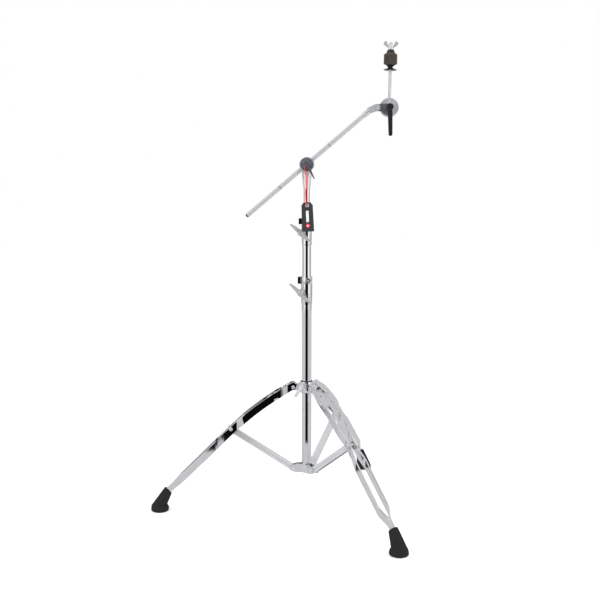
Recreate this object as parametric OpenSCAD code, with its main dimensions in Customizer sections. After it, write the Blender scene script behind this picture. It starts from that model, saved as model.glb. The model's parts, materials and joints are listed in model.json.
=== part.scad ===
// Cymbal boom stand: a double-braced folding tripod, a three-tube column, a tilting
// boom and a cymbal tilter with felts. Millimetres, +Z up, floor at z = 0.
// Each sub-part is a module named after the real piece, drawn in its assembled place.

/* [Tubes] */
// Outer diameter of the base tube
base_od = 25.4; // [25:0.1:26]
// Outer diameter of the middle tube
middle_od = 22.2; // [21.8:0.1:22.4]
// Outer diameter of the upper tube
upper_od = 15.9; // [15:0.1:17]
// Outer diameter of the boom
boom_od = 11; // [10.5:0.1:12]
// Wall of the column tubes and the boom
tube_wall = 1.2; // [1:0.1:1.4]

/* [Column heights] */
// Underside of the base tube
base_low = 98; // [95:1:100]
// Top of the base tube, inside the lower height clamp
base_top = 582; // [570:1:584]
// Underside of the lower height clamp
lower_clamp_z = 534; // [525:1:540]
// Underside of the upper height clamp
upper_clamp_z = 684; // [675:1:690]
// Length of each height clamp
clamp_h = 52; // [48:1:54]
// Height of the lower memory lock
lower_lock_h = 20; // [16:1:24]
// Height of the upper memory lock
upper_lock_h = 17; // [14:1:20]
// Height of the boom tilter's axis
tilter_z = 885; // [870:1:900]

/* [Tripod] */
// Direction of the first leg, turned from +X
first_leg_turn = 183.85; // [180:0.05:190]
// Distance of the hub and collar pins from the column axis
pivot_r = 35; // [34:0.5:36]
// Height of the hub pins
hub_pin_z = 108; // [106:0.5:110]
// Height of the collar pins
collar_pin_z = 322; // [318:0.5:326]
// Distance of the brace pins from the column axis
brace_pin_r = 195; // [190:1:200]
// Thickness of a leg bar
bar_t = 4; // [3:0.5:4]
// Depth of a leg bar at the collar
bar_top_h = 18.5; // [18:0.5:20]
// Depth of a leg bar at the foot
bar_low_h = 15; // [14:0.5:16]
// Slope of a leg at the collar
leg_top_slope = 28; // [27:0.5:29]
// Slope of a leg below the brace pin
leg_low_slope = 44; // [43.5:0.5:44.5]
// Radius of the bend between the two slopes
leg_bend_r = 710; // [700:5:720]
// Distance of the foot's contact from the column axis
foot_r = 379; // [377:1:381]

/* [Boom] */
// Angle of the boom above level
boom_angle = 40.4; // [38:0.1:44]
// Length of the boom below the tilter
boom_tail = 193; // [180:1:200]
// Length of the boom above the tilter, to the head's sleeve
boom_front = 181; // [175:1:185]
// Distance of the boom from the column axis, towards the player's side
boom_offset = 21; // [20.5:0.5:21.5]
// Diameter of the tilter's front disc
tilter_disc_d = 34.5; // [32:0.5:36]

/* [Cymbal tilter] */
// Distance of the head screw from the tilter axis, to the right
head_screw_x = 170.5; // [170:0.5:171]
// Height of the head screw above the tilter axis
head_screw_rise = 137.5; // [137:0.5:138]
// Length of the tilter arm between its two pivots
arm_len = 31.5; // [30:0.5:33]
// Diameter of the cymbal tilter's disc
head_disc_d = 47.5; // [46:0.5:49]
// Lean of the cymbal rod away from upright
rod_lean = 1; // [0:0.5:3]
// Diameter of the cymbal rod, an M8 thread at its top
rod_d = 7.8; // [7.6:0.1:7.9]
// Diameter of the cymbal felts
felt_d = 33; // [30:1:36]

/* [Hang tag] */
// Height of the hang tag
tag_h = 72; // [70:1:74]
// Width of the hang tag at its foot
tag_w = 30; // [29:0.5:31]
// Thickness of the hang tag
tag_t = 0.9; // [0.8:0.1:1]
// Diameter of the tag's string
string_d = 2; // [1.8:0.1:2]

/* [Hidden] */
$fn = 72;

// Colours of the finishes
chrome_colour = [0.82, 0.83, 0.85];
black_colour = [0.09, 0.09, 0.10];
rubber_colour = [0.15, 0.15, 0.15];
nylon_colour = [0.20, 0.20, 0.21];
grey_colour = [0.27, 0.29, 0.32];
felt_colour = [0.17, 0.14, 0.12];
tag_colour = [0.25, 0.25, 0.27];
red_colour = [0.80, 0.08, 0.10];

// The column stands off the origin, so that the origin is the middle of the footprint
column_x = 81;
column_y = -10;
module on_column() translate([column_x, column_y, 0]) children();

// Clearances: a running fit's gap, an open pivot's gap and the gap between moving faces
fit = 0.06;
loose = 0.4;
gap = 0.3;

base_r = base_od / 2;
middle_r = middle_od / 2;
upper_r = upper_od / 2;
boom_r = boom_od / 2;
pin_r = 3;
bolt_r = 3;
stud_r = 3.9;

// Cylinder along -Y (towards the player), from y = from to y = to
module front_cylinder(r, from, to, x = 0, z = 0)
    translate([x, max(from, to), z])
        rotate([90, 0, 0])
            cylinder(r = r, h = abs(to - from));

// Ring about Z with square edges
module ring(r_out, r_in, z, h)
    translate([0, 0, z])
        difference() {
            cylinder(r = r_out, h = h);
            translate([0, 0, -1]) cylinder(r = r_in, h = h + 2);
        }

module tube(r, wall, low, top) ring(r, r - wall, low, top - low);

// Box given by its two corners
module block(low, high) translate(low) cube(high - low);

// ---- Tripod -------------------------------------------------------------------

// A leg's own frame: +X points out from the column along the leg
module leg_frame(i) rotate([0, 0, first_leg_turn + 120 * i]) children();

// Every link is the same length, so the collar runs straight along the tube as it folds
brace_pin_z = (hub_pin_z + collar_pin_z) / 2;
link_run = brace_pin_r - pivot_r;
link_rise = brace_pin_z - hub_pin_z;
link_len = norm([link_run, link_rise]);
link_slope = atan2(link_rise, link_run);

strut_w = 13.6;
strut_h = 15;
strut_wall = 1.6;
lug_w = 13.6;

hub_h = 22;
hub_end_r = 8.5;
plate_t = 2;
plate_side = strut_w / 2 + gap + plate_t / 2;
plate_flat_x = base_r + plate_t / 2;
plate_corner_r = 2 * (plate_flat_x - plate_side * sin(60));

// The side of a hub plate that carries a strut's pin, drawn in the leg's frame
module hub_ear(side)
    translate([0, side * plate_side + plate_t / 2, hub_pin_z])
        rotate([90, 0, 0])
            difference() {
                linear_extrude(plate_t) {
                    polygon([
                        [plate_corner_r, -hub_h / 2], [pivot_r - 11, -hub_h / 2],
                        [pivot_r, -hub_end_r], [pivot_r, hub_end_r],
                        [pivot_r - 11, hub_h / 2], [plate_corner_r, hub_h / 2]
                    ]);
                    translate([pivot_r, 0]) circle(r = hub_end_r);
                }
                translate([pivot_r, 0, -1]) cylinder(r = pin_r, h = plate_t + 2);
            }

module hub_plates()
    color(chrome_colour) on_column()
        for (i = [0:2])
            difference() {
                union() {
                    leg_frame(i) hub_ear(1);
                    leg_frame(i + 1) hub_ear(-1);
                    leg_frame(i + 0.5) hub_flat();
                }
                leg_frame(i + 0.5) rivet_shank(rivet_r);
            }

module hub_flat() {
    half = plate_corner_r * sin(60) - plate_side / 2 + plate_t / 2;
    difference() {
        block([base_r - 0.2, -half, hub_pin_z - hub_h / 2],
              [base_r + plate_t, half, hub_pin_z + hub_h / 2]);
        translate([0, 0, base_low - 1]) cylinder(r = base_r, h = hub_h + 10);
    }
}

rivet_r = 2.4;
module rivet_shank(r)
    translate([base_r - tube_wall - 1, 0, hub_pin_z + 2])
        rotate([0, 90, 0])
            cylinder(r = r, h = tube_wall + plate_t + 1);

module hub_rivets()
    color(chrome_colour) on_column()
        for (i = [0:2])
            leg_frame(i + 0.5) {
                rivet_shank(rivet_r);
                translate([base_r + plate_t, 0, hub_pin_z + 2])
                    rotate([0, 90, 0])
                        cylinder(r1 = 4.2, r2 = 2.6, h = 1.8);
            }

// A pin across a leg, with a rivet head at each end, drawn about its own middle
module cross_pin(reach, head_r = 4.6, head_h = 1.8) {
    rotate([90, 0, 0])
        cylinder(r = pin_r, h = 2 * reach, center = true);
    for (side = [-1, 1])
        translate([0, side * reach, 0])
            rotate([-90 * side, 0, 0])
                cylinder(r1 = head_r, r2 = head_r * 0.62, h = head_h);
}

module hub_pins()
    color(chrome_colour) on_column()
        for (i = [0:2])
            leg_frame(i)
                translate([pivot_r, 0, hub_pin_z])
                    cross_pin(plate_side + plate_t / 2 + 0.1);

// A strut is a channel, open below, with a round pinned end at the hub and at the brace pin
module strut(i)
    color(chrome_colour) on_column()
        leg_frame(i)
            translate([pivot_r, 0, hub_pin_z])
                rotate([0, -link_slope, 0])
                    difference() {
                        translate([0, strut_w / 2, 0])
                            rotate([90, 0, 0])
                                linear_extrude(strut_w) {
                                    circle(d = strut_h);
                                    translate([link_len, 0]) circle(d = strut_h);
                                    translate([0, -strut_h / 2]) square([link_len, strut_h]);
                                }
                        block([-strut_h, strut_wall - strut_w / 2, -strut_h],
                              [link_len + strut_h, strut_w / 2 - strut_wall,
                               strut_h / 2 - strut_wall]);
                        rotate([90, 0, 0])
                            cylinder(r = pin_r + fit, h = strut_w + 2, center = true);
                        translate([link_len, 0, 0])
                            rotate([90, 0, 0])
                                cylinder(r = pin_r + loose, h = strut_w + 2, center = true);
                    }

module left_strut() strut(0);
module front_strut() strut(1);
module rear_strut() strut(2);

// Centre line of a leg in its own frame: a bend from the top slope to the low slope, then
// straight to the foot. It starts above the collar pin, and its radius shrinks to r.
leg_start = [pivot_r, collar_pin_z + 3.5];
leg_bend_centre = leg_start - leg_bend_r * [sin(leg_top_slope), cos(leg_top_slope)];
function bend_point(a, off) = leg_bend_centre + (leg_bend_r + off) * [sin(a), cos(a)];
leg_bend_end = bend_point(leg_low_slope, 0);
low_dir = [cos(leg_low_slope), -sin(leg_low_slope)];
low_up = [sin(leg_low_slope), cos(leg_low_slope)];
leg_end_r = 362;
leg_low_len = (leg_end_r - leg_bend_end[0]) / low_dir[0];
bend_step = 1;
bend_angles = [for (a = [leg_top_slope:bend_step:leg_low_slope]) a];
bar_rounding = bar_top_h / 2;

// Side outline of a leg bar
module leg_side()
    polygon(concat(
        [for (a = bend_angles) bend_point(a, bar_top_h / 2)],
        [leg_bend_end + leg_low_len * low_dir + bar_low_h / 2 * low_up,
         leg_bend_end + leg_low_len * low_dir - bar_low_h / 2 * low_up],
        [for (k = [len(bend_angles) - 1:-1:0]) bend_point(bend_angles[k], -bar_top_h / 2)],
        [for (a = [258 - leg_top_slope:-12:102 - leg_top_slope])
            leg_start + bar_rounding * [cos(a), sin(a)]]
    ));

// Half spacing of the two bars at distance r from the column: [r, half spacing]
narrow = lug_w / 2 + gap + bar_t / 2 + 0.2;
wide = 14.4;
closed = bar_t / 2 + 0.15;
spread = [
    [20, narrow], [44, narrow], [72, wide], [160, wide], [184, narrow],
    [207, narrow], [234, wide], [318, wide], [347, closed], [370, closed]
];
function ease(t) = t * t * (3 - 2 * t);
spread_steps = 5;
spread_line = concat(
    [spread[0]],
    [for (k = [0:len(spread) - 2]) for (s = [1:spread_steps])
        if (spread[k][1] != spread[k + 1][1] || s == spread_steps)
            let (t = s / spread_steps)
                [spread[k][0] + t * (spread[k + 1][0] - spread[k][0]),
                 spread[k][1] + ease(t) * (spread[k + 1][1] - spread[k][1])]]
);

// Top outline of one bar
module leg_plan(side)
    polygon(concat(
        [for (p = spread_line) [p[0], side * (p[1] + bar_t / 2)]],
        [for (k = [len(spread_line) - 1:-1:0])
            [spread_line[k][0], side * (spread_line[k][1] - bar_t / 2)]]
    ));

module leg_bar(i, side)
    color(chrome_colour) on_column()
        leg_frame(i)
            difference() {
                intersection() {
                    translate([0, 25, 0])
                        rotate([90, 0, 0]) linear_extrude(50) leg_side();
                    translate([0, 0, 20]) linear_extrude(330) leg_plan(side);
                }
                translate([pivot_r, 0, collar_pin_z])
                    rotate([90, 0, 0]) cylinder(r = pin_r + fit, h = 50, center = true);
                translate([brace_pin_r, 0, brace_pin_z])
                    rotate([90, 0, 0]) cylinder(r = pin_r, h = 50, center = true);
            }

module left_leg_bar_a() leg_bar(0, 1);
module left_leg_bar_b() leg_bar(0, -1);
module front_leg_bar_a() leg_bar(1, 1);
module front_leg_bar_b() leg_bar(1, -1);
module rear_leg_bar_a() leg_bar(2, 1);
module rear_leg_bar_b() leg_bar(2, -1);

module brace_pin(i)
    color(chrome_colour) on_column()
        leg_frame(i)
            translate([brace_pin_r, 0, brace_pin_z])
                cross_pin(narrow + bar_t / 2 + 0.1, 4.8, 2);

module left_brace_pin() brace_pin(0);
module front_brace_pin() brace_pin(1);
module rear_brace_pin() brace_pin(2);

// A rubber boot: a round tread that flares above the floor, and a socket that leans up
// the leg and takes its flattened end
foot_flat_r = 19;
foot_wide_r = 23;
foot_hole_z = 25;
foot_mouth_x = 356.5;
foot_mouth = leg_bend_end + (foot_mouth_x - leg_bend_end[0]) / low_dir[0] * low_dir;
foot_mouth_r = 12.3;

module foot_tread()
    translate([foot_r, 0, 0])
        rotate_extrude()
            polygon([
                [0, 0], [foot_flat_r, 0], [foot_wide_r - 1, 1.5], [foot_wide_r, 4],
                [foot_wide_r, 7], [foot_wide_r - 1.4, 12], [foot_wide_r - 3.6, 16], [0, 16]
            ]);

module foot_socket()
    hull() {
        translate([foot_r + 3, 0, 11]) cylinder(r = 19.4, h = 3, $fn = 32);
        translate([foot_mouth[0], 0, foot_mouth[1]])
            rotate([0, leg_low_slope - 90, 0])
                translate([0, 0, -4]) {
                    cylinder(r = foot_mouth_r, h = 3, $fn = 32);
                    cylinder(r = foot_mouth_r - 1.5, h = 4.5, $fn = 32);
                }
    }

module foot(i)
    color(rubber_colour) on_column()
        leg_frame(i)
            difference() {
                union() {
                    foot_tread();
                    foot_socket();
                    translate([foot_r - 21.5, 0, foot_hole_z])
                        rotate([0, 70, 0]) cylinder(r1 = 7, r2 = 8.5, h = 8);
                }
                translate([foot_r - 23, 0, foot_hole_z]) rotate([0, 70, 0]) cylinder(r = 3.4, h = 9);
                translate([leg_bend_end[0], 0, leg_bend_end[1]])
                    rotate([0, leg_low_slope, 0])
                        block([150, -closed - bar_t / 2 - 0.1, -bar_low_h / 2 - 0.6],
                              [leg_low_len + 1, closed + bar_t / 2 + 0.1, bar_low_h / 2 + 0.9]);
            }

module left_foot() foot(0);
module front_foot() foot(1);
module rear_foot() foot(2);

// ---- Collar that the legs hang from ----------------------------------------------

collar_low = collar_pin_z - 14;
collar_h = 28;
collar_r = 18.2;
bushing_wall = 1.6;
collar_bolt_side = 0.5;

module collar()
    color(chrome_colour) on_column()
        difference() {
            union() {
                translate([0, 0, collar_low]) cylinder(r = collar_r, h = collar_h);
                for (i = [0:2]) leg_frame(i) collar_lug();
                leg_frame(collar_bolt_side)
                    translate([14, 0, collar_pin_z + 4])
                        rotate([0, 90, 0]) cylinder(r = 7.5, h = 12.5);
            }
            translate([0, 0, collar_low - 1])
                cylinder(r = base_r + bushing_wall, h = collar_h + 2);
            leg_frame(collar_bolt_side)
                translate([10, 0, collar_pin_z + 4])
                    rotate([0, 90, 0]) cylinder(r = stud_r + fit, h = 30);
        }

module collar_lug()
    translate([0, lug_w / 2, collar_pin_z])
        rotate([90, 0, 0])
            difference() {
                linear_extrude(lug_w) {
                    translate([pivot_r, 0]) circle(r = 8.6);
                    translate([15, -8.6]) square([pivot_r - 15, 17.2]);
                }
                translate([pivot_r, 0, -1]) cylinder(r = pin_r, h = lug_w + 2);
            }

module collar_bushing()
    color(nylon_colour) on_column()
        difference() {
            ring(base_r + bushing_wall, base_r + fit, collar_low - 1.5, collar_h + 3);
            leg_frame(collar_bolt_side)
                translate([10, 0, collar_pin_z + 4])
                    rotate([0, 90, 0]) cylinder(r = stud_r + gap, h = 30);
        }

module collar_pins()
    color(chrome_colour) on_column()
        for (i = [0:2])
            leg_frame(i)
                translate([pivot_r, 0, collar_pin_z])
                    cross_pin(narrow + bar_t / 2 + gap);

// One-armed lever bolt that locks the collar on the base tube
module collar_lever_bolt()
    color(chrome_colour) on_column()
        leg_frame(collar_bolt_side)
            translate([0, 0, collar_pin_z + 4])
                rotate([0, 90, 0]) {
                    translate([0, 0, base_r + 0.5]) cylinder(r = stud_r, h = 18);
                    translate([0, 0, 27]) cylinder(r1 = 7.2, r2 = 5.8, h = 9);
                    rotate([0, 0, lever_bolt_turn])
                        translate([0, 0, 29]) tapered_blade(33, 10.5, 7.5, 4.4);
                }
lever_bolt_turn = -32;

// Flat blade along +X, round at its tip, its underside on z = 0
module tapered_blade(length, w1, w2, t)
    linear_extrude(t) {
        polygon([[0, -w1 / 2], [length - w2 / 2, -w2 / 2],
                 [length - w2 / 2, w2 / 2], [0, w1 / 2]]);
        translate([length - w2 / 2, 0]) circle(d = w2);
    }

// ---- Column ---------------------------------------------------------------------

module base_tube()
    color(chrome_colour) on_column()
        difference() {
            tube(base_r, tube_wall, base_low, base_top);
            for (i = [0:2]) leg_frame(i + 0.5) rivet_shank(rivet_r);
        }

module tube_plug()
    color(black_colour) on_column() {
        translate([0, 0, base_low - 2.5]) cylinder(r1 = base_r - 2, r2 = base_r, h = 2.5);
        translate([0, 0, base_low]) cylinder(r = base_r - tube_wall, h = 7);
    }

middle_low = 250;
upper_low = 420;
middle_top = upper_clamp_z + clamp_h - 3;
upper_top = tilter_z - 37;

module middle_tube()
    color(chrome_colour) on_column()
        tube(middle_r, tube_wall, middle_low, middle_top);

module upper_tube()
    color(chrome_colour) on_column()
        tube(upper_r, tube_wall, upper_low, upper_top);

// A split sleeve that grips the outer tube and, through a bushing, the inner one. Its two
// ears stand to the left, and a wing bolt from the front draws them together.
ear_t = 7.5;
slit = 3;
clamp_wall = 1.9;
function ear_bolt_x(r) = -(r + bolt_r + 1.2);

module clamp_sleeve(r_outer_tube, z, bolt_z) {
    bx = ear_bolt_x(r_outer_tube);
    difference() {
        union() {
            translate([0, 0, z])
                cylinder(r1 = r_outer_tube + clamp_wall - 0.6,
                         r2 = r_outer_tube + clamp_wall, h = clamp_h);
            translate([bx, ear_t + slit / 2, bolt_z])
                rotate([90, 0, 0])
                    linear_extrude(2 * ear_t + slit) {
                        circle(r = 7);
                        polygon([[0, -7], [0, 7], [-bx - 4, 16], [-bx - 4, -20]]);
                    }
        }
        translate([0, 0, z - 1]) cylinder(r = r_outer_tube, h = clamp_h + 2);
        block([-40, -slit / 2, z - 1], [-2, slit / 2, z + clamp_h + 1]);
        front_cylinder(bolt_r + fit, 20, -20, bx, bolt_z);
    }
}

// Nylon sleeve between two tubes, with a flange that covers the outer tube's end
module clamp_bushing(r_out, r_in, top, flange_top) {
    ring(r_out - tube_wall, r_in + fit, top - 40, 40);
    ring(r_out - 0.05, r_in + fit, top, flange_top - top);
}

// Square nut behind the ears
module ear_nut(r_outer_tube, bolt_z)
    difference() {
        block([ear_bolt_x(r_outer_tube) - 5.5, ear_t + slit / 2, bolt_z - 5.5],
              [ear_bolt_x(r_outer_tube) + 5.5, ear_t + slit / 2 + 5, bolt_z + 5.5]);
        front_cylinder(bolt_r + fit, 20, 0, ear_bolt_x(r_outer_tube), bolt_z);
    }

// Wing bolt from the front: shank, round hub and two swept wings
wing_near = 22.5;
wing_t = 4;
module wing_bolt(r_outer_tube, bolt_z, half, turn) {
    face = ear_t + slit / 2;
    translate([ear_bolt_x(r_outer_tube), 0, bolt_z])
        rotate([90, 0, 0]) {
            translate([0, 0, -face - 6]) cylinder(r = bolt_r, h = face + 6 + wing_near);
            translate([0, 0, face + gap]) cylinder(r = 5.2, h = wing_near - face - gap);
            translate([0, 0, wing_near - 4]) cylinder(r1 = 6.4, r2 = 8, h = 4);
            translate([0, 0, wing_near]) cylinder(r1 = 8, r2 = 5.5, h = 5.5);
            rotate([0, 0, turn])
                translate([0, 0, wing_near]) {
                    wing_outline(half);
                    rotate([0, 0, 180]) wing_outline(half);
                }
        }
}

// One wing: straight along its leading edge, swept along its trailing edge, narrow at its tip
wing_root = 6.6;
wing_tip = 2.4;
module wing_outline(half)
    linear_extrude(wing_t)
        polygon(concat(
            [[0, wing_root - 1.4], [half - wing_tip, wing_tip]],
            [for (a = [60:-30:-60]) [half - wing_tip + wing_tip * cos(a), wing_tip * sin(a)]],
            [for (t = [0:0.2:1])
                [(half - wing_tip) * (1 - t), -wing_tip - (wing_root - wing_tip) * pow(t, 0.55)]]
        ));

lower_bolt_z = 565;
upper_bolt_z = 716;
module lower_clamp()
    color(chrome_colour) on_column() clamp_sleeve(base_r, lower_clamp_z, lower_bolt_z);
module lower_clamp_bushing()
    color(nylon_colour) on_column()
        clamp_bushing(base_r, middle_r, base_top, lower_clamp_z + clamp_h);
module lower_clamp_nut()
    color(chrome_colour) on_column() ear_nut(base_r, lower_bolt_z);
module lower_wing_bolt()
    color(chrome_colour) on_column() wing_bolt(base_r, lower_bolt_z, 36, 137);
module upper_clamp()
    color(chrome_colour) on_column() clamp_sleeve(middle_r, upper_clamp_z, upper_bolt_z);
module upper_clamp_bushing()
    color(nylon_colour) on_column()
        clamp_bushing(middle_r, upper_r, middle_top, upper_clamp_z + clamp_h);
module upper_clamp_nut()
    color(chrome_colour) on_column() ear_nut(middle_r, upper_bolt_z);
module upper_wing_bolt()
    color(chrome_colour) on_column() wing_bolt(middle_r, upper_bolt_z, 34, 139);

// Memory lock: a split ring on the inner tube that sits on the clamp below it. Its screw
// takes a drum key and stands in a round boss.
lock_screw_x = 3.3;
lock_boss_r = 6.2;
module lock_ring(r_tube, r_out, z, h) {
    front = r_out + 3;
    difference() {
        union() {
            translate([0, 0, z]) cylinder(r = r_out, h = h);
            block([-r_out - 8.5, -7, z + 1], [-r_tube, 7, z + h - 1]);
            front_cylinder(lock_boss_r, 0, -front, lock_screw_x, z + h / 2);
        }
        translate([0, 0, z - 1]) cylinder(r = r_tube + fit, h = h + 2);
        block([-r_out - 10, -0.8, z - 1], [-2, 0.8, z + h + 1]);
        front_cylinder(4.9, -front + 3, -front - 1, lock_screw_x, z + h / 2);
        front_cylinder(2.5, 0, -front, lock_screw_x, z + h / 2);
        block([-r_out - 1.9, -8, z - 1], [-r_out - 0.3, -5, z + h + 1]);
    }
}

// Drum-key screw: threaded shank, round flange and square head
module lock_screw(r_tube, r_out, z, h) {
    front = r_out + 3;
    shank_end = sqrt(pow(r_tube, 2) - pow(lock_screw_x - 2.5, 2)) + 0.4;
    front_cylinder(2.5, -shank_end, -front + 2.5, lock_screw_x, z + h / 2);
    front_cylinder(4.5, -front + 3, -front + 1.6, lock_screw_x, z + h / 2);
    block([lock_screw_x - 2.7, -front - 2.2, z + h / 2 - 2.7],
          [lock_screw_x + 2.7, -front + 2, z + h / 2 + 2.7]);
}

lower_lock_z = lower_clamp_z + clamp_h;
lower_lock_r = 14.3;
upper_lock_z = upper_clamp_z + clamp_h;
upper_lock_r = 11.8;
module lower_memory_lock()
    color(chrome_colour) on_column()
        lock_ring(middle_r, lower_lock_r, lower_lock_z, lower_lock_h);
module lower_lock_screw()
    color(chrome_colour) on_column()
        lock_screw(middle_r, lower_lock_r, lower_lock_z, lower_lock_h);
module upper_memory_lock()
    color(chrome_colour) on_column()
        lock_ring(upper_r, upper_lock_r, upper_lock_z, upper_lock_h);
module upper_lock_screw()
    color(chrome_colour) on_column()
        lock_screw(upper_r, upper_lock_r, upper_lock_z, upper_lock_h);

// ---- Boom tilter ------------------------------------------------------------------

neck_low = tilter_z - 59;
neck_face = -11.5;
neck_back = 10;
neck_head_r = 18.4;
pivot_spigot_r = 5;

module tilter_neck()
    color(chrome_colour) on_column()
        difference() {
            union() {
                translate([0, 0, neck_low]) cylinder(r1 = 8.7, r2 = 12.2, h = 34);
                translate([0, 0, neck_low + 34]) cylinder(r = 12.2, h = 25);
                front_cylinder(neck_head_r, neck_back, neck_face, 0, tilter_z);
            }
            block([-30, -30, neck_low - 1], [30, neck_face, tilter_z + 30]);
            translate([0, 0, neck_low - 1]) cylinder(r = upper_r, h = upper_top - neck_low + 1);
            front_cylinder(pivot_spigot_r + fit, 20, -20, 0, tilter_z);
            front_cylinder(10.4, 20, neck_back, 0, tilter_z);
        }

// Barrel that the boom passes through, with a spigot that turns in the neck and a
// threaded stud in front
holder_r = 13.4;
holder_back = neck_face - 0.2;
holder_front = -30.4;
holder_spigot_end = 16;
tilter_stud_end = -47;
liner_r = boom_r + fit + 1.2;

module on_boom()
    translate([0, -boom_offset, tilter_z]) rotate([0, -boom_angle, 0]) children();

module along_boom(r, from, to)
    translate([from, 0, 0]) rotate([0, 90, 0]) cylinder(r = r, h = to - from);

module boom_holder()
    color(chrome_colour) on_column()
        difference() {
            union() {
                front_cylinder(holder_r, holder_back, holder_front, 0, tilter_z);
                front_cylinder(pivot_spigot_r, holder_spigot_end, holder_back, 0, tilter_z);
                front_cylinder(stud_r, holder_front, tilter_stud_end, 0, tilter_z);
            }
            on_boom() along_boom(liner_r + fit, -30, 30);
        }

// Front disc with stepped rings
disc_back = holder_front - 0.1;
disc_t = 5.8;
module tilter_disc()
    color(chrome_colour) on_column()
        translate([0, disc_back, tilter_z])
            rotate([90, 0, 0])
                difference() {
                    rotate_extrude()
                        polygon([
                            [0, 0], [tilter_disc_d / 2 - 0.8, 0], [tilter_disc_d / 2, 0.8],
                            [tilter_disc_d / 2, 3], [tilter_disc_d / 2 - 1.2, 4.2],
                            [tilter_disc_d / 2 - 3.6, 4.6], [tilter_disc_d / 2 - 4.2, 3.9],
                            [tilter_disc_d / 2 - 7, 4.2], [tilter_disc_d / 2 - 7.8, disc_t],
                            [0, disc_t]
                        ]);
                    translate([0, 0, -1]) cylinder(r = stud_r + fit, h = disc_t + 2);
                }

lever_back = disc_back - disc_t - string_d - 1.6;
lever_hub_h = 9.5;
tilter_lever_len = 40;
tilter_lever_turn = -62;
module tilter_lever()
    color(grey_colour) on_column()
        translate([0, lever_back, tilter_z])
            rotate([90, 0, 0])
                difference() {
                    union() {
                        cylinder(r = 6.4, h = lever_hub_h - 2);
                        translate([0, 0, lever_hub_h - 2]) cylinder(r1 = 6.4, r2 = 4.6, h = 2);
                        rotate([0, 0, tilter_lever_turn])
                            translate([0, 0, 1.5]) tapered_blade(tilter_lever_len, 8.5, 2.6, 5);
                    }
                    translate([0, 0, -1]) cylinder(r = stud_r + fit, h = lever_hub_h - 1);
                }

module tilter_nut()
    color(chrome_colour) on_column()
        translate([0, neck_back + 6.5, tilter_z])
            rotate([90, 0, 0])
                difference() {
                    union() {
                        cylinder(r = 8.6, h = 5, $fn = 6);
                        translate([0, 0, 5]) cylinder(r = 9.4, h = 1.4);
                    }
                    translate([0, 0, -1]) cylinder(r = pivot_spigot_r, h = 9);
                }

// ---- Boom ---------------------------------------------------------------------------

module boom_liner()
    color(nylon_colour) on_column()
        on_boom()
            difference() {
                along_boom(liner_r, -11.5, 11.5);
                along_boom(boom_r + fit, -13, 13);
            }

mark_low = -87;
mark_high = 72.5;
socket_end = 196;
module boom_tube()
    color(chrome_colour) on_column()
        on_boom()
            difference() {
                along_boom(boom_r, -boom_tail, socket_end);
                along_boom(boom_r - tube_wall, -boom_tail - 1, socket_end + 1);
                for (x = [mark_low, mark_high])
                    difference() {
                        along_boom(boom_r + 1, x - 0.6, x + 0.6);
                        along_boom(boom_r - 0.3, x - 1, x + 1);
                    }
            }

module boom_tail_plug()
    color(nylon_colour) on_column()
        on_boom() {
            along_boom(boom_r - tube_wall, -boom_tail, -boom_tail + 12);
            translate([-boom_tail, 0, 0])
                rotate([0, -90, 0]) cylinder(r1 = boom_r, r2 = boom_r - 2.6, h = 4);
        }

// Cast head: a sleeve on the boom's end and a fork for the tilter arm
screw_x = head_screw_x * cos(boom_angle) + head_screw_rise * sin(boom_angle);
screw_z = -head_screw_x * sin(boom_angle) + head_screw_rise * cos(boom_angle);
fork_half = 9;
arm_half = 4.8;
fork_r = 8.8;
head_r = 7.9;
module fork_side() {
    translate([screw_x, screw_z]) circle(r = fork_r);
    polygon([[199, head_r - 0.6], [200.5, head_r], [204, head_r], [screw_x + 2.4, screw_z + 8.5],
             [screw_x, screw_z], [screw_x - 2.2, screw_z - 8.5], [202, -head_r],
             [200.5, -head_r], [199, 0.6 - head_r]]);
}

module fork_slot()
    translate([screw_x, screw_z]) {
        circle(r = fork_r + 1.2);
        rotate(-boom_angle) translate([0, -12]) square([20, 24]);
    }

// The back cheek is cut rounder than the front one, to pass the cymbal tilter's disc
module fork_relief()
    translate([screw_x, screw_z])
        difference() {
            rotate(-boom_angle) translate([0, -12]) square([20, 24]);
            circle(r = arm_len - head_disc_d / 2 - 0.45);
        }

module boom_head()
    color(chrome_colour) on_column()
        on_boom()
            difference() {
                union() {
                    along_boom(boom_r + 1, boom_front, 204);
                    along_boom(head_r, boom_front + 5, boom_front + 8);
                    along_boom(head_r, boom_front + 11, boom_front + 14);
                    translate([0, fork_half, 0])
                        rotate([90, 0, 0]) linear_extrude(2 * fork_half) fork_side();
                }
                along_boom(boom_r, boom_front - 1, socket_end);
                translate([0, arm_half + gap, 0])
                    rotate([90, 0, 0]) linear_extrude(2 * (arm_half + gap)) fork_slot();
                translate([0, fork_half + 1, 0])
                    rotate([90, 0, 0]) linear_extrude(fork_half + 1 - arm_half) fork_relief();
                translate([screw_x, 20, screw_z])
                    rotate([90, 0, 0]) cylinder(r = pin_r, h = 40);
            }

head_screw_z = tilter_z + head_screw_rise;
module head_screw()
    color(chrome_colour) on_column()
        translate([head_screw_x, -boom_offset, head_screw_z])
            rotate([90, 0, 0]) {
                translate([0, 0, -fork_half - 2]) cylinder(r = pin_r, h = 2 * fork_half + 2);
                translate([0, 0, fork_half]) cylinder(r = 5.6, h = 1.6);
                translate([-2.7, -2.7, fork_half + 1.6]) cube([5.4, 5.4, 2.6]);
                translate([0, 0, -fork_half - 4]) cylinder(r = 5.4, h = 4, $fn = 6);
            }

// ---- Cymbal tilter ------------------------------------------------------------------

disc_x = head_screw_x + arm_len;
disc_z = head_screw_z + 1;
arm_r = 9.3;
disc_r = head_disc_d / 2;
disc_front = -boom_offset + arm_half + 0.3;
disc_depth = 10;
disc_mid = disc_front + disc_depth / 2;

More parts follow.
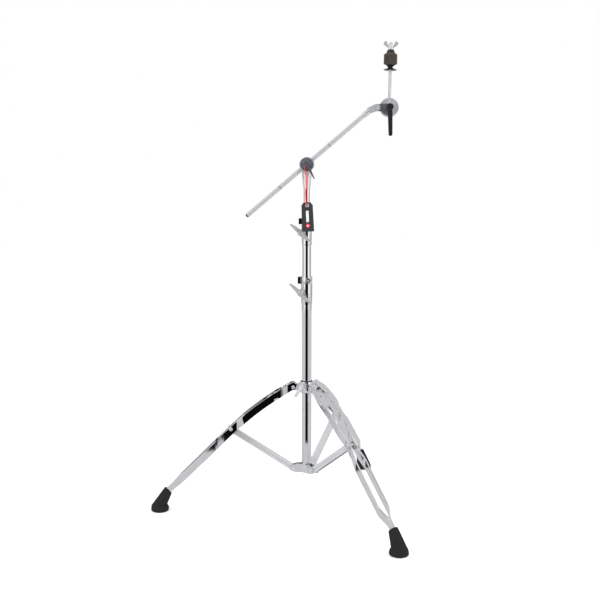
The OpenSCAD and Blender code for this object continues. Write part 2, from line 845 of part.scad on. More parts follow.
module arm_side() {
    circle(r = fork_r - 0.4);
    translate([arm_len, 1]) circle(r = arm_r);
    polygon([[0, -fork_r + 0.4], [8, -arm_r + 0.6], [arm_len, 1 - arm_r],
             [arm_len, 1 + arm_r], [8, arm_r], [0, fork_r - 0.4]]);
}

// Dark cast arm with a stop quadrant against the disc
module tilter_arm()
    color(grey_colour) on_column()
        difference() {
            union() {
                translate([head_screw_x, -boom_offset + arm_half, head_screw_z])
                    rotate([90, 0, 0]) linear_extrude(2 * arm_half) arm_side();
                translate([disc_x, -boom_offset + arm_half, disc_z])
                    rotate([90, 0, 0])
                        linear_extrude(4)
                            intersection() {
                                circle(r = 19.5);
                                polygon([[0, 0], [-26, -9], [-24, -24], [-3, -26]]);
                            }
            }
            front_cylinder(pin_r + fit, 0, -60, head_screw_x, head_screw_z);
            front_cylinder(stud_r, 0, -60, disc_x, disc_z);
        }

module head_stud()
    color(chrome_colour) on_column() {
        front_cylinder(stud_r, disc_front + disc_depth + 5, head_lever_back - 14.5, disc_x, disc_z);
        translate([disc_x, disc_front + disc_depth + 5.5, disc_z])
            rotate([90, 0, 0]) cylinder(r = 7.6, h = 5.2, $fn = 6);
    }

head_lever_back = -boom_offset - arm_half - 0.6;
head_lever_len = 70;
module head_lever()
    color(black_colour) on_column()
        translate([disc_x, head_lever_back, disc_z])
            rotate([90, 0, 0])
                difference() {
                    union() {
                        cylinder(r1 = 6.8, r2 = 8.7, h = 6);
                        translate([0, 0, 6]) cylinder(r = 8.7, h = 10);
                        translate([0, 0, 16]) cylinder(r1 = 8.7, r2 = 7, h = 1.8);
                        rotate([0, 0, -88.5])
                            translate([0, 0, 8.6]) tapered_blade(head_lever_len, 11.8, 9.4, 7);
                    }
                    translate([0, 0, -1]) cylinder(r = stud_r + fit, h = 16);
                }

module on_rod() translate([disc_x, disc_mid, disc_z]) rotate([0, rod_lean, 0]) children();

module rod_disc()
    color(chrome_colour) on_column()
        difference() {
            translate([disc_x, disc_front + disc_depth, disc_z])
                rotate([90, 0, 0])
                    rotate_extrude()
                        polygon([
                            [0, 0], [disc_r - 3, 0], [disc_r, 3],
                            [disc_r, disc_depth - 2.5], [disc_r - 1.5, disc_depth - 0.6],
                            [disc_r - 4, disc_depth - 0.6], [disc_r - 5, disc_depth - 1.6],
                            [12, disc_depth - 1.6], [11, disc_depth], [0, disc_depth]
                        ]);
            front_cylinder(stud_r + fit, 20, -60, disc_x, disc_z);
            on_rod() translate([0, 0, 12]) cylinder(r = rod_d / 2, h = 20);
        }

// Heights along the rod, from the disc's middle
seat_low = 89.5;
seat_top = 96;
felt_low = 103.5;
felt_mid = 119.5;
felt_top = 131;
cap_top = 138.5;
nut_low = 138.8;
rod_top = 156;
sleeve_r = 5.4;

module cymbal_rod()
    color(chrome_colour) on_column() on_rod()
        translate([0, 0, 12]) {
            cylinder(r = rod_d / 2, h = rod_top - 13);
            translate([0, 0, rod_top - 13]) cylinder(r1 = rod_d / 2, r2 = rod_d / 2 - 1, h = 1);
        }

// Black seat: a flared skirt, a cup and the sleeve that lines the cymbal's hole
module cymbal_seat()
    color(black_colour) on_column() on_rod()
        rotate_extrude()
            polygon([
                [rod_d / 2 + 0.05, seat_low + 3], [rod_d / 2 + 0.05, felt_top - 3],
                [sleeve_r, felt_top - 3], [sleeve_r, felt_low], [11.5, felt_low],
                [11.2, felt_low - 2], [5.4, seat_top + 1], [6.5, seat_top - 1],
                [16.2, seat_low + 1.4], [16.2, seat_low], [14, seat_low],
                [6, seat_low + 3]
            ]);

module lower_felt()
    color(felt_colour) on_column() on_rod()
        rotate_extrude()
            polygon([
                [sleeve_r + 0.05, felt_low], [felt_d / 2 - 1.2, felt_low],
                [felt_d / 2, felt_low + 1.2], [felt_d / 2, felt_mid - 1],
                [felt_d / 2 - 1, felt_mid], [sleeve_r + 0.05, felt_mid]
            ]);

module upper_felt()
    color(felt_colour) on_column() on_rod()
        rotate_extrude()
            polygon([
                [sleeve_r + 0.3, felt_mid + 0.05], [felt_d / 2 - 1, felt_mid + 0.05],
                [felt_d / 2, felt_mid + 1], [felt_d / 2, felt_top - 4.5],
                [felt_d / 2 - 6, felt_top], [sleeve_r + 0.3, felt_top]
            ]);

module top_cap()
    color(black_colour) on_column() on_rod()
        rotate_extrude()
            polygon([
                [rod_d / 2 + 0.3, felt_top], [10.2, felt_top], [9.4, felt_top + 3.5],
                [7, cap_top], [rod_d / 2 + 0.3, cap_top]
            ]);

// Wing nut: tapered hub and two raised ears
module wing_nut()
    color(chrome_colour) on_column() on_rod()
        difference() {
            union() {
                translate([0, 0, nut_low]) cylinder(r1 = 6.6, r2 = 5.4, h = 11);
                for (side = [0, 180])
                    rotate([0, 0, side])
                        translate([0, 2.2, nut_low])
                            rotate([90, 0, 0]) linear_extrude(4.4) ear_outline();
            }
            translate([0, 0, nut_low - 1]) cylinder(r = rod_d / 2 + fit, h = rod_top - nut_low + 2.6);
        }

module ear_outline()
    polygon(concat(
        [[4.6, 2], [9, 5.6]],
        [for (a = [-60:30:120]) [13 + 4.8 * cos(a), 14.4 + 5.4 * sin(a)]],
        [[8.6, 14], [5, 9]]
    ));

// ---- Hang tag ---------------------------------------------------------------------

tag_y = disc_back - disc_t - string_d / 2 - 0.8;
tag_hole = [0.8, 785];
tag_tilt = 2.4;
hole_drop = 7.5;
hole_r = 2.9;

// Card with clipped top corners, tilted a little about its hole
module hang_tag()
    color(tag_colour) on_column()
        translate([tag_hole[0], tag_y + tag_t / 2, tag_hole[1]])
            rotate([90, -tag_tilt, 0])
                difference() {
                    linear_extrude(tag_t)
                        polygon([
                            [-8.5, hole_drop], [8.5, hole_drop], [14, hole_drop - 7],
                            [tag_w / 2, hole_drop - tag_h], [-tag_w / 2, hole_drop - tag_h],
                            [-14, hole_drop - 7]
                        ]);
                    translate([0, 0, -1]) cylinder(r = hole_r, h = tag_t + 2);
                }

// The string's route: up from the front of the tag's hole, over the tilter's stud and down
// again to the back of the hole, as [x, y, z] from the column axis, the tag's plane and z = 0
string_points = [
    [-1, -1.2, 784], [-1.6, -1.6, 789], [-2, -1.2, 796], [-2.6, -0.6, 806],
    [-2.8, -0.2, 816], [-2, 0, 828], [-1.6, 0, 840], [-1.7, 0, 850], [-3, 0, 860],
    [-4.5, 0, 870], [-5.2, 0, 878], [-5.15, 0, 885], [-3.64, 0, 888.64], [0, 0, 890.15],
    [3.64, 0, 888.64], [5.15, 0, 885], [5.2, 0, 878], [4.9, 0, 870], [3.9, 0, 860],
    [1.9, 0, 850], [1, 0, 840], [1, 0, 828], [1.2, 0.2, 816], [1, 0.6, 806],
    [1.4, 1.2, 796], [1.8, 1.6, 789], [2, 1.3, 784]
];
string_sides = 8;

// Curve through the points: part k of a Catmull-Rom spline at t
function spline(p, k, t) =
    let (a = p[max(k - 1, 0)], b = p[k], c = p[k + 1], d = p[min(k + 2, len(p) - 1)])
        0.5 * (2 * b + (c - a) * t + (2 * a - 5 * b + 4 * c - d) * t * t
            + (3 * b - 3 * c + d - a) * t * t * t);
string_line = concat(
    [for (k = [0:len(string_points) - 2]) for (t = [0, 0.5]) spline(string_points, k, t)],
    [string_points[len(string_points) - 1]]
);
function unit(v) = v / norm(v);

// A ring of the string at each point, square to the way the string runs
function string_ring(line, k) =
    let (
        way = unit(line[min(k + 1, len(line) - 1)] - line[max(k - 1, 0)]),
        side = unit(cross(way, [0, 1, 0])),
        up = cross(side, way)
    )
        [for (s = [0:string_sides - 1])
            let (a = 360 * s / string_sides)
                line[k] + string_d / 2 * (cos(a) * side + sin(a) * up)];

module tag_string()
    color(red_colour) on_column()
        translate([0, tag_y, 0]) {
            rings = len(string_line);
            last = string_sides - 1;
            polyhedron(
                points = [for (k = [0:rings - 1]) each string_ring(string_line, k)],
                faces = concat(
                    [[for (s = [0:last]) s]],
                    [for (k = [0:rings - 2]) for (s = [0:last])
                        let (n = (s + 1) % string_sides)
                            [k * string_sides + n, k * string_sides + s,
                             (k + 1) * string_sides + s, (k + 1) * string_sides + n]],
                    [[for (s = [last:-1:0]) (rings - 1) * string_sides + s]]
                )
            );
        }

base_tube();
tube_plug();
hub_plates();
hub_rivets();
hub_pins();
left_strut();
front_strut();
rear_strut();
left_leg_bar_a();
left_leg_bar_b();
left_brace_pin();
left_foot();
front_leg_bar_a();
front_leg_bar_b();
front_brace_pin();
front_foot();
rear_leg_bar_a();
rear_leg_bar_b();
rear_brace_pin();
rear_foot();
collar();
collar_bushing();
collar_pins();
collar_lever_bolt();
lower_clamp();
lower_clamp_bushing();
lower_clamp_nut();
lower_wing_bolt();
lower_memory_lock();
lower_lock_screw();
middle_tube();
upper_clamp();
upper_clamp_bushing();
upper_clamp_nut();
upper_wing_bolt();
upper_memory_lock();
upper_lock_screw();
upper_tube();
tilter_neck();
boom_holder();
tilter_disc();
tilter_lever();
tilter_nut();
boom_liner();
boom_tube();
boom_tail_plug();
boom_head();
head_screw();
tilter_arm();
head_stud();
head_lever();
rod_disc();
cymbal_rod();
cymbal_seat();
lower_felt();
upper_felt();
top_cap();
wing_nut();
hang_tag();
tag_string();
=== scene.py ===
"""Looks of the cymbal boom stand: camera, string, materials, the pieces finer than the CAD, and studio."""

import json
import math

import bmesh
import bpy
from mathutils import Matrix, Vector


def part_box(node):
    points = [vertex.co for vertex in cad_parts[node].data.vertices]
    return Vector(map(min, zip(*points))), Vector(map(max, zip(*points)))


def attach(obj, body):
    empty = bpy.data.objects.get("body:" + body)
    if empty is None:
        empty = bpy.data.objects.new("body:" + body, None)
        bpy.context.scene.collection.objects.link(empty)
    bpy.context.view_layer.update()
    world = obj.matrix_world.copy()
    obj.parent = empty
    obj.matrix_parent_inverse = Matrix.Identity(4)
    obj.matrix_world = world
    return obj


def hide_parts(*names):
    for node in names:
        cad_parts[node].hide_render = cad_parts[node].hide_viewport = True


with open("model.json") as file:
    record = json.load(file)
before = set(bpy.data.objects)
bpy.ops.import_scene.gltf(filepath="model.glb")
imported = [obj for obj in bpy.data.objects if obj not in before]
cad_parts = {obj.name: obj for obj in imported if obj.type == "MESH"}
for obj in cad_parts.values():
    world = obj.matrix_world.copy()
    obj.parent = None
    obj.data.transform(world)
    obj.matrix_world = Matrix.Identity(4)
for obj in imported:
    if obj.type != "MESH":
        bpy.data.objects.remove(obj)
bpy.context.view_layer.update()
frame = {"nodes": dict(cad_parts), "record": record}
scene = bpy.context.scene
MM = 0.001


def corners(node):
    low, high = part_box(node)
    return Vector(low), Vector(high)


def middle(node):
    low, high = corners(node)
    return (low + high) / 2


# The column's axis, where it meets the floor, is the place that everything here is measured from
COLUMN = middle("base_tube")
COLUMN.z = 0.0


def at(x, y, z):
    """A point given in millimetres from the column's foot."""
    return COLUMN + Vector((x, y, z)) * MM


# ---- Camera ------------------------------------------------------------------

CAMERA_LENS = 57.9
CAMERA_SENSOR = 36.0
CAMERA_PLACE = (0, -2423.8, 867.6)
CAMERA_DOWN = 7.58
CAMERA_TURN = 0.40


def make_camera():
    data = bpy.data.cameras.new("camera")
    data.lens = CAMERA_LENS
    data.sensor_width = CAMERA_SENSOR
    data.clip_end = 50.0
    camera = bpy.data.objects.new("camera", data)
    camera.location = at(*CAMERA_PLACE)
    camera.rotation_euler = (math.radians(90 - CAMERA_DOWN), 0, math.radians(CAMERA_TURN))
    scene.collection.objects.link(camera)
    scene.camera = camera


make_camera()

# ---- The tag's string --------------------------------------------------------

STRING_D = 2.0 * MM
STRING_LAY = 8.0 * MM
STRING_SIDES = 24
STRAND_DEPTH = 0.14
TAG_Y = (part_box("hang_tag")[0][1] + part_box("hang_tag")[1][1]) / 2 - COLUMN.y
STRING_POINTS = [
    (-1, -1.2, 784), (-1.6, -1.6, 789), (-2, -1.2, 796), (-2.6, -0.6, 806),
    (-2.8, -0.2, 816), (-2, 0, 828), (-1.6, 0, 840), (-1.7, 0, 850), (-3, 0, 860),
    (-4.5, 0, 870), (-5.2, 0, 878), (-5.15, 0, 885), (-3.64, 0, 888.64), (0, 0, 890.15),
    (3.64, 0, 888.64), (5.15, 0, 885), (5.2, 0, 878), (4.9, 0, 870), (3.9, 0, 860),
    (1.9, 0, 850), (1, 0, 840), (1, 0, 828), (1.2, 0.2, 816), (1, 0.6, 806),
    (1.4, 1.2, 796), (1.8, 1.6, 789), (2, 1.3, 784),
]


def string_place(point):
    x, y, z = point
    return at(x, y, z) + Vector((0, TAG_Y, 0))


def catmull(points, parts):
    """Points of a smooth curve through the given ones."""
    line = []
    for k in range(len(points) - 1):
        a, b = points[max(k - 1, 0)], points[k]
        c, d = points[k + 1], points[min(k + 2, len(points) - 1)]
        for s in range(parts):
            t = s / parts
            line.append(0.5 * (2 * b + (c - a) * t + (2 * a - 5 * b + 4 * c - d) * t * t
                               + (3 * b - 3 * c + d - a) * t ** 3))
    line.append(points[-1].copy())
    return line


def link_mesh(name, bm):
    mesh = bpy.data.meshes.new(name)
    bm.normal_update()
    bm.to_mesh(mesh)
    bm.free()
    obj = bpy.data.objects.new(name, mesh)
    scene.collection.objects.link(obj)
    return obj


def swept(name, line, outline, twist=0.0):
    """A closed outline of (across, up) offsets swept along a line, turning by twist radians per metre."""
    bm = bmesh.new()
    rings = []
    run = 0.0
    for k, p in enumerate(line):
        way = (line[min(k + 1, len(line) - 1)] - line[max(k - 1, 0)]).normalized()
        side = way.cross(Vector((0, 1, 0))).normalized()
        up = side.cross(way)
        if k:
            run += (p - line[k - 1]).length
        turn = Matrix.Rotation(twist * run, 4, way)
        rings.append([bm.verts.new(p + turn @ (side * u + up * v)) for u, v in outline])
    for low, high in zip(rings, rings[1:]):
        for s in range(len(low)):
            n = (s + 1) % len(low)
            bm.faces.new((low[s], low[n], high[n], high[s]))
    bm.faces.new(list(reversed(rings[0])))
    bm.faces.new(rings[-1])
    bmesh.ops.recalc_face_normals(bm, faces=bm.faces)
    obj = link_mesh(name, bm)
    for face in obj.data.polygons:
        face.use_smooth = True
    return obj


def make_string():
    """A twisted cord of three strands, drawn as one swept trefoil."""
    line = catmull([string_place(p) for p in STRING_POINTS], 10)
    radius = STRING_D / 2
    outline = []
    for s in range(STRING_SIDES):
        a = 2 * math.pi * s / STRING_SIDES
        r = radius * (1 - STRAND_DEPTH + STRAND_DEPTH * abs(math.cos(1.5 * a)))
        outline.append((r * math.cos(a), r * math.sin(a)))
    string = swept("string", line, outline, twist=2 * math.pi / STRING_LAY)
    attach(string, "tag")
    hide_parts("tag_string")
    return string


string = make_string()

# ---- Materials ---------------------------------------------------------------


class Material:
    """A Principled material and short ways to wire procedural detail into it."""

    def __init__(self, name, **sockets):
        self.material = bpy.data.materials.new(name)
        self.material.use_nodes = True
        self.tree = self.material.node_tree
        self.shader = self.tree.nodes["Principled BSDF"]
        self.place = self.node("ShaderNodeTexCoord").outputs["Object"]
        for socket, value in sockets.items():
            self.shader.inputs[socket.replace("_", " ")].default_value = value

    def node(self, kind, **values):
        node = self.tree.nodes.new(kind)
        for key, value in values.items():
            if key in node.inputs:
                node.inputs[key].default_value = value
            else:
                setattr(node, key, value)
        return node

    def link(self, out, into):
        self.tree.links.new(out, into)

    def noise(self, scale, detail=4.0, rough=0.5, stretch=(1, 1, 1)):
        mapping = self.node("ShaderNodeMapping")
        mapping.inputs["Scale"].default_value = stretch
        self.link(self.place, mapping.inputs["Vector"])
        texture = self.node("ShaderNodeTexNoise", Scale=scale, Detail=detail, Roughness=rough)
        self.link(mapping.outputs["Vector"], texture.inputs["Vector"])
        return texture.outputs["Fac"]

    def ramp(self, factor, low, high, start=0.0, end=1.0):
        """Maps a factor from start..end to the range low..high."""
        node = self.node("ShaderNodeMapRange")
        self.link(factor, node.inputs["Value"])
        values = {"From Min": start, "From Max": end, "To Min": low, "To Max": high}
        for key, value in values.items():
            node.inputs[key].default_value = value
        return node.outputs["Result"]

    def mix(self, factor, one, two):
        node = self.node("ShaderNodeMix", data_type="RGBA")
        self.link(factor, node.inputs[0])
        for socket, colour in ((node.inputs[6], one), (node.inputs[7], two)):
            if isinstance(colour, bpy.types.NodeSocket):
                self.link(colour, socket)
            else:
                socket.default_value = (*colour, 1.0)
        return node.outputs[2]

    def colour(self, socket):
        self.link(socket, self.shader.inputs["Base Color"])

    def roughness(self, socket):
        self.link(socket, self.shader.inputs["Roughness"])

    def bump(self, height, strength, distance):
        node = self.node("ShaderNodeBump", Strength=strength, Distance=distance)
        self.link(height, node.inputs["Height"])
        self.link(node.outputs["Normal"], self.shader.inputs["Normal"])


def chrome(name, colour, rough, wave, metallic=1.0):
    """Bright plate: a faint haze of handling marks, and a slow waver of the metal under it."""
    m = Material(name, Metallic=metallic, Roughness=rough[0], IOR=1.5)
    haze = m.noise(38.0, 6.0, 0.65)
    m.colour(m.mix(m.ramp(haze, 0.0, 1.0, 0.35, 0.75), colour, tuple(0.93 * c for c in colour)))
    m.roughness(m.ramp(haze, rough[0], rough[1], 0.4, 0.8))
    m.bump(m.noise(9.0, 1.0, 0.4), wave, 0.002)
    return m.material


def rubber():
    m = Material("rubber", Specular_IOR_Level=0.14)
    mottle = m.noise(60.0, 5.0, 0.6)
    m.colour(m.mix(mottle, (0.008, 0.008, 0.0085), (0.016, 0.016, 0.017)))
    m.roughness(m.ramp(mottle, 0.45, 0.62, 0.3, 0.7))
    m.bump(m.noise(900.0, 3.0, 0.6), 0.25, 0.0003)
    return m.material


def moulded(name, colour, rough):
    m = Material(name, Specular_IOR_Level=0.5)
    grain = m.noise(120.0, 4.0, 0.6)
    m.colour(m.mix(grain, colour, tuple(1.35 * c for c in colour)))
    m.roughness(m.ramp(grain, rough[0], rough[1], 0.3, 0.7))
    m.bump(m.noise(1400.0, 2.0, 0.5), 0.12, 0.0002)
    return m.material


def cast_grey():
    m = Material("grey_cast", Metallic=0.35)
    grain = m.noise(200.0, 5.0, 0.65)
    m.colour(m.mix(grain, (0.050, 0.056, 0.066), (0.085, 0.092, 0.105)))
    m.roughness(m.ramp(grain, 0.28, 0.42, 0.3, 0.7))
    m.bump(m.noise(1100.0, 4.0, 0.6), 0.25, 0.0003)
    return m.material


def felt():
    m = Material("felt", Specular_IOR_Level=0.15, Sheen_Weight=0.35, Sheen_Roughness=0.6)
    m.shader.inputs["Sheen Tint"].default_value = (0.35, 0.30, 0.27, 1.0)
    m.shader.inputs["Roughness"].default_value = 0.95
    fibre = m.noise(650.0, 6.0, 0.75)
    clump = m.noise(110.0, 3.0, 0.6)
    fine = m.mix(fibre, (0.010, 0.008, 0.007), (0.040, 0.032, 0.027))
    m.colour(m.mix(m.ramp(clump, 0.0, 0.55, 0.35, 0.75), fine, (0.050, 0.040, 0.034)))
    m.bump(m.noise(800.0, 6.0, 0.8), 0.8, 0.0008)
    return m.material


def card():
    m = Material("tag_card", Specular_IOR_Level=0.4, Coat_Weight=0.25, Coat_Roughness=0.2)
    grain = m.noise(140.0, 4.0, 0.6)
    m.colour(m.mix(grain, (0.020, 0.020, 0.023), (0.032, 0.032, 0.036)))
    m.roughness(m.ramp(grain, 0.38, 0.5, 0.3, 0.7))
    m.bump(m.noise(700.0, 3.0, 0.5), 0.08, 0.0002)
    return m.material


def ink(name, colour):
    m = Material(name, Specular_IOR_Level=0.4)
    grain = m.noise(300.0, 4.0, 0.6)
    m.colour(m.mix(grain, colour, tuple(0.8 * c for c in colour)))
    m.roughness(m.ramp(grain, 0.4, 0.55, 0.3, 0.7))
    return m.material


def red_thread():
    m = Material("red_cord", Specular_IOR_Level=0.25, Sheen_Weight=0.3, Sheen_Roughness=0.5)
    m.shader.inputs["Sheen Tint"].default_value = (1.0, 0.45, 0.45, 1.0)
    m.shader.inputs["Roughness"].default_value = 0.7
    fibre = m.noise(1500.0, 4.0, 0.7, stretch=(1, 1, 0.25))
    m.colour(m.mix(fibre, (0.42, 0.006, 0.012), (0.80, 0.035, 0.045)))
    m.bump(fibre, 0.5, 0.0003)
    return m.material


MATERIALS = {
    "chrome_tube": chrome("chrome_tube", (0.88, 0.885, 0.895), rough=(0.035, 0.09), wave=0.04),
    "chrome_cast": chrome("chrome_cast", (0.68, 0.685, 0.70), rough=(0.14, 0.24), wave=0.10, metallic=0.66),
    "chrome_leg": chrome("chrome_leg", (0.87, 0.875, 0.885), rough=(0.04, 0.10), wave=0.08),
    "chrome_disc": chrome("chrome_disc", (0.56, 0.57, 0.60), rough=(0.20, 0.28), wave=0.10, metallic=0.55),
    "blue_disc": chrome("blue_disc", (0.34, 0.365, 0.41), rough=(0.16, 0.26), wave=0.10, metallic=0.8),
    "chrome_satin": chrome("chrome_satin", (0.50, 0.505, 0.515), rough=(0.28, 0.34), wave=0.04, metallic=0.5),
    "rubber_foot": rubber(),
    "black_plastic": moulded("black_plastic", (0.010, 0.010, 0.011), rough=(0.18, 0.30)),
    "nylon_liner": moulded("nylon_liner", (0.018, 0.018, 0.020), rough=(0.40, 0.55)),
    "grey_cast": cast_grey(),
    "felt": felt(),
    "tag_card": card(),
    "red_cord": red_thread(),
}
SLOT_OF = {s["node"]: s["material_slot"] for s in frame["record"]["subparts"]}

# Nodes that look different from the rest of their slot
LOOK_OF = {"tilter_disc": "blue_disc", "rod_disc": "chrome_disc", "boom_tube": "chrome_satin",
           "cymbal_rod": "chrome_satin", "tilter_arm": "blue_disc"}
for polished in ("lower_clamp", "upper_clamp", "lower_memory_lock", "upper_memory_lock",
                 "collar", "hub_plates"):
    LOOK_OF[polished] = "chrome_tube"
for leg in ("left", "front", "rear"):
    LOOK_OF[f"{leg}_strut"] = "chrome_cast"


SHARP_ANGLE = 35


def dress(obj, material):
    obj.data.materials.clear()
    obj.data.materials.append(material)


def dress_nodes():
    for name, obj in frame["nodes"].items():
        for slot in obj.material_slots:
            slot.material = MATERIALS[LOOK_OF.get(name, SLOT_OF[name])]


def soften(name, width):
    """Rounds a CAD node's sharp edges, so that they catch the light."""
    obj = frame["nodes"][name]
    weld = obj.modifiers.new("weld", "WELD")
    weld.merge_threshold = 1e-6
    bevel = obj.modifiers.new("bevel", "BEVEL")
    bevel.width = width * MM
    bevel.segments = 2
    bevel.limit_method = "ANGLE"
    bevel.angle_limit = math.radians(SHARP_ANGLE)
    bevel.harden_normals = False
    bevel.use_clamp_overlap = True


dress_nodes()
dress(string, MATERIALS["red_cord"])

# ---- Finer pieces --------------------------------------------------------------

# The boom's axis, its outer radius, and the marking grooves' places along it from the tilter
BOOM_PIVOT = (0, -21, 885)
BOOM_ANGLE = 40.4
BOOM_R = 5.5
BOOM_MARKS = (("boom_mark_low", -87), ("boom_mark_high", 72.5))
MARK_HALF_WIDTH = 0.55
MARK_BOTTOM = 0.45
MARK_SINK = 0.01

TAG_HOLE = (0.8, 785)
TAG_LEAN = 2.4
PRINT_LIFT = 0.06
PRINT_THICKNESS = 0.05

# The gap round a screw's head, where a black ring is painted shade: the ring's depth behind the head's face,
# and its radii
RECESS_DEPTH = 3.75
RECESS_INNER = 3.0
RECESS_OUTER = 4.85
RECESS_THICKNESS = 0.3

HARDWARE = ["lower_wing_bolt", "upper_wing_bolt", "lower_clamp", "upper_clamp", "lower_memory_lock",
            "upper_memory_lock", "lower_lock_screw", "upper_lock_screw", "collar", "collar_lever_bolt",
            "boom_head", "head_screw", "tilter_arm", "tilter_neck", "boom_holder", "tilter_lever",
            "tilter_nut", "head_lever", "head_stud", "wing_nut", "lower_clamp_nut", "upper_clamp_nut"]
THIN = ["hub_plates", "hang_tag", "left_strut", "front_strut", "rear_strut"]
BARS = [f"{leg}_leg_bar_{bar}" for leg in ("left", "front", "rear") for bar in "ab"]


def solid(name, bm, material, body):
    """A finer piece that the CAD leaves out, riding on one of its bodies."""
    bmesh.ops.recalc_face_normals(bm, faces=bm.faces)
    obj = link_mesh(name, bm)
    for face in obj.data.polygons:
        face.use_smooth = True
    dress(obj, material)
    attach(obj, body)
    return obj


def turned(name, profile, place, axis, material, body, sides=48):
    """A ring turned about an axis through place. The closed profile is given as (radius, along) in mm."""
    bm = bmesh.new()
    turn = Vector((0, 0, 1)).rotation_difference(axis).to_matrix()
    rings = []
    for k in range(sides):
        a = 2 * math.pi * k / sides
        rings.append([bm.verts.new(place + turn @ (Vector((r * math.cos(a), r * math.sin(a), h)) * MM))
                      for r, h in profile])
    for k in range(sides):
        one, two = rings[k], rings[(k + 1) % sides]
        for s in range(len(profile)):
            n = (s + 1) % len(profile)
            bm.faces.new((one[s], two[s], two[n], one[n]))
    return solid(name, bm, material, body)


def flat_print(name, outline, place, turn, material, body):
    """A thin printed patch: an outline of (x, z) in mm, upright and facing -Y."""
    bm = bmesh.new()
    front = [bm.verts.new(place + turn @ (Vector((x, 0, z)) * MM)) for x, z in outline]
    back = [bm.verts.new(v.co + Vector((0, PRINT_THICKNESS, 0)) * MM) for v in front]
    bm.faces.new(front)
    bm.faces.new(list(reversed(back)))
    for k in range(len(front)):
        n = (k + 1) % len(front)
        bm.faces.new((front[k], front[n], back[n], back[k]))
    return solid(name, bm, material, body)


def disc_outline(x, z, radius, sides=32):
    return [(x + radius * math.cos(2 * math.pi * k / sides), z + radius * math.sin(2 * math.pi * k / sides))
            for k in range(sides)]


def make_tag_print():
    """A pale bar and a plain red dot on the card, and the ring at its hole."""
    hole = at(TAG_HOLE[0], 0, TAG_HOLE[1])
    hole.y = corners("hang_tag")[0].y
    lean = Matrix.Rotation(math.radians(TAG_LEAN), 3, "Y").inverted()
    lift = Vector((0, PRINT_LIFT, 0)) * MM
    ink_pale = ink("tag_print_pale", (0.62, 0.62, 0.62))
    ink_red = ink("tag_print_red", (0.62, 0.03, 0.03))
    bar = [(-3.6, -13), (3.2, -13), (3.2, -41), (-3.6, -41)]
    dot_x, dot_z = 0, -50
    flat_print("tag_bar", bar, hole - lift, lean, ink_pale, "tag")
    flat_print("tag_dot", disc_outline(dot_x, dot_z, 5.2), hole - lift, lean, ink_red, "tag")
    flat_print("tag_ring_print", disc_outline(dot_x, dot_z, 2.0), hole - 2 * lift, lean, ink_pale, "tag")
    turned("tag_eyelet", [(2.4, -0.1), (4.4, -0.1), (4.6, 0.15), (3.6, 0.45), (2.4, 0.3)],
           hole, Vector((0, -1, 0)), MATERIALS["chrome_satin"], "tag")


def make_painted_screw_shade(name, node, body):
    """A black ring of painted shade in the dark gap round a drum-key screw's square head."""
    low, high = corners(node)
    place = Vector(((low.x + high.x) / 2, low.y + RECESS_DEPTH * MM, (low.z + high.z) / 2))
    profile = [(RECESS_INNER, 0.0), (RECESS_OUTER, 0.0),
               (RECESS_OUTER, RECESS_THICKNESS), (RECESS_INNER, RECESS_THICKNESS)]
    # The black plastic material here is painted shade in the gap, not a plastic part
    turned(name, profile, place, Vector((0, -1, 0)), MATERIALS["black_plastic"], body)


def make_boom_marks():
    """Dark rings set into the boom's two marking grooves."""
    along = Vector((math.cos(math.radians(BOOM_ANGLE)), 0, math.sin(math.radians(BOOM_ANGLE))))
    inner, outer = BOOM_R - MARK_BOTTOM, BOOM_R - MARK_SINK
    profile = [(inner, -MARK_HALF_WIDTH), (outer, -MARK_HALF_WIDTH),
               (outer, MARK_HALF_WIDTH), (inner, MARK_HALF_WIDTH)]
    for name, distance in BOOM_MARKS:
        place = at(*BOOM_PIVOT) + along * distance * MM
        turned(name, profile, place, along, MATERIALS["black_plastic"], "boom")


for node in HARDWARE:
    soften(node, 0.5)
for node in THIN:
    soften(node, 0.25)
for node in BARS:
    soften(node, 0.7)
make_tag_print()
# Black rings of painted shade in the gaps round the two lock screws' heads
make_painted_screw_shade("lower_screw_painted_shade", "lower_lock_screw", "lower_lock")
make_painted_screw_shade("upper_screw_painted_shade", "upper_lock_screw", "upper_lock")
make_boom_marks()

# ---- Studio ------------------------------------------------------------------

REFLECTED_GREY = 0.70
FLOOR_GLOW = 0.12
MIRRORED_FLOOR_GREY = 0.64
NEAR_BLACK = 0.004
CARD_LOW, CARD_HIGH = -0.3, 3.4
FLOOR_STRIP_HEIGHT = 0.001
ARC_STEPS = 8


def plane(name, size, height):
    bm = bmesh.new()
    bmesh.ops.create_grid(bm, x_segments=1, y_segments=1, size=size)
    obj = link_mesh(name, bm)
    obj.location.z = height
    return obj


def make_floor():
    """A pale floor, and under it the slightly darker one that the metal mirrors."""
    floor = plane("floor", 9.0, -0.0005)
    m = Material("floor", Specular_IOR_Level=0.2)
    m.colour(m.mix(m.noise(0.7, 2.0), (0.92, 0.92, 0.92), (0.95, 0.95, 0.95)))
    m.shader.inputs["Roughness"].default_value = 0.9
    m.shader.inputs["Emission Color"].default_value = (1, 1, 1, 1)
    m.shader.inputs["Emission Strength"].default_value = FLOOR_GLOW
    dress(floor, m.material)
    floor.visible_glossy = False
    mirrored = plane("floor_mirrored", 9.0, -0.001)
    dress(mirrored, card_material("floor_mirrored", MIRRORED_FLOOR_GREY))
    only_reflected(mirrored)


def make_world():
    """White to the eye and as light, but darker in the metal, so that the metal stands out from it."""
    world = bpy.data.worlds.new("studio")
    scene.world = world
    world.use_nodes = True
    tree = world.node_tree
    path = tree.nodes.new("ShaderNodeLightPath")
    mix = tree.nodes.new("ShaderNodeMix")
    mix.data_type = "RGBA"
    tree.links.new(path.outputs["Is Glossy Ray"], mix.inputs[0])
    mix.inputs[6].default_value = (1, 1, 1, 1)
    mix.inputs[7].default_value = (REFLECTED_GREY, REFLECTED_GREY, REFLECTED_GREY * 1.02, 1)
    tree.links.new(mix.outputs[2], tree.nodes["Background"].inputs["Color"])
    tree.nodes["Background"].inputs["Strength"].default_value = 1.0
    scene.view_settings.view_transform = "Standard"


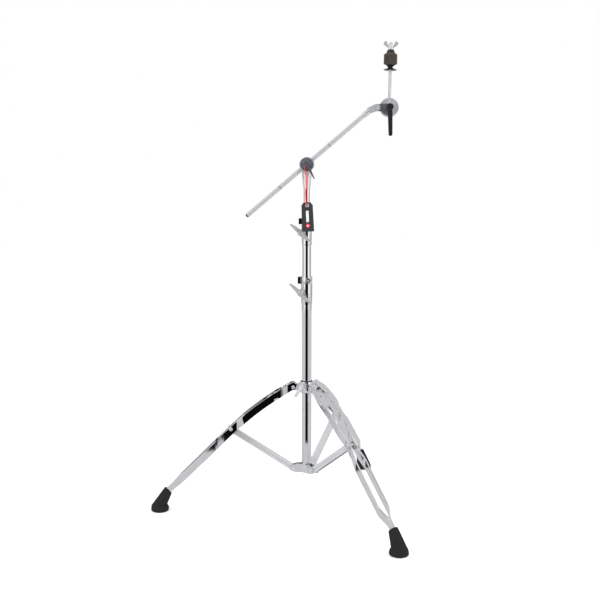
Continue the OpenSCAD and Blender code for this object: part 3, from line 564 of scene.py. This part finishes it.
def card_material(name, shade):
    """Shines with exactly one shade of grey, so that the metal's greys do not depend on the lights."""
    m = Material(name, Specular_IOR_Level=0.0, Emission_Strength=shade)
    m.shader.inputs["Base Color"].default_value = (0, 0, 0, 1)
    m.shader.inputs["Emission Color"].default_value = (1, 1, 1.02, 1)
    return m.material


def only_reflected(obj):
    """A studio card that the metal mirrors, and nothing else sees."""
    obj.visible_camera = False
    obj.visible_shadow = False
    obj.visible_diffuse = False


def around(azimuth, distance, height):
    """A point in metres about the column. Azimuth 0 is in front (-Y), and positive is to the right."""
    a = math.radians(azimuth)
    return at(1000 * distance * math.sin(a), -1000 * distance * math.cos(a), 1000 * height)


def make_strip(name, azimuth, half_angle, one_side, other_side, shade):
    """A curved card about the column, between two arcs that are given as (distance, height)."""
    bm = bmesh.new()
    pairs = []
    for k in range(ARC_STEPS + 1):
        a = azimuth + half_angle * (2 * k / ARC_STEPS - 1)
        pairs.append([bm.verts.new(around(a, *side)) for side in (one_side, other_side)])
    for one, two in zip(pairs, pairs[1:]):
        bm.faces.new((one[0], two[0], two[1], one[1]))
    strip = link_mesh(name, bm)
    dress(strip, card_material(name + "_card", shade))
    only_reflected(strip)


def make_band(name, azimuth, half_angle, distance, shade):
    """An upright card."""
    make_strip(name, azimuth, half_angle, (distance, CARD_LOW), (distance, CARD_HIGH), shade)


def make_light(name, azimuth, height, distance, size, power):
    data = bpy.data.lights.new(name, "AREA")
    data.shape = "RECTANGLE"
    data.size, data.size_y = size
    data.energy = power
    light = bpy.data.objects.new(name, data)
    light.location = around(azimuth, distance, height)
    aim = at(0, 0, 600) - light.location
    light.rotation_euler = aim.to_track_quat("-Z", "Y").to_euler()
    light.visible_camera = False
    light.visible_glossy = False
    scene.collection.objects.link(light)


make_floor()
make_world()
make_band("dark_front", 0, 29, distance=3.6, shade=NEAR_BLACK)
# The floor's dark strip in front, which the low parts of the metal mirror
make_strip("dark_floor", 0, 29, (0.62, FLOOR_STRIP_HEIGHT), (3.6, FLOOR_STRIP_HEIGHT), shade=NEAR_BLACK)
for side, edge in ((-1, "left"), (1, "right")):
    make_band(f"white_{edge}", side * 47, 17, distance=3.7, shade=1.08)
    make_band(f"grey_side_{edge}", side * 112, 7, distance=3.65, shade=0.22)
    make_band(f"dark_back_{edge}", side * 150, 8, distance=3.6, shade=0.06)
    make_light(f"light_{edge}", side * 46, height=1.5, distance=3.0, size=(0.8, 2.4), power=60)
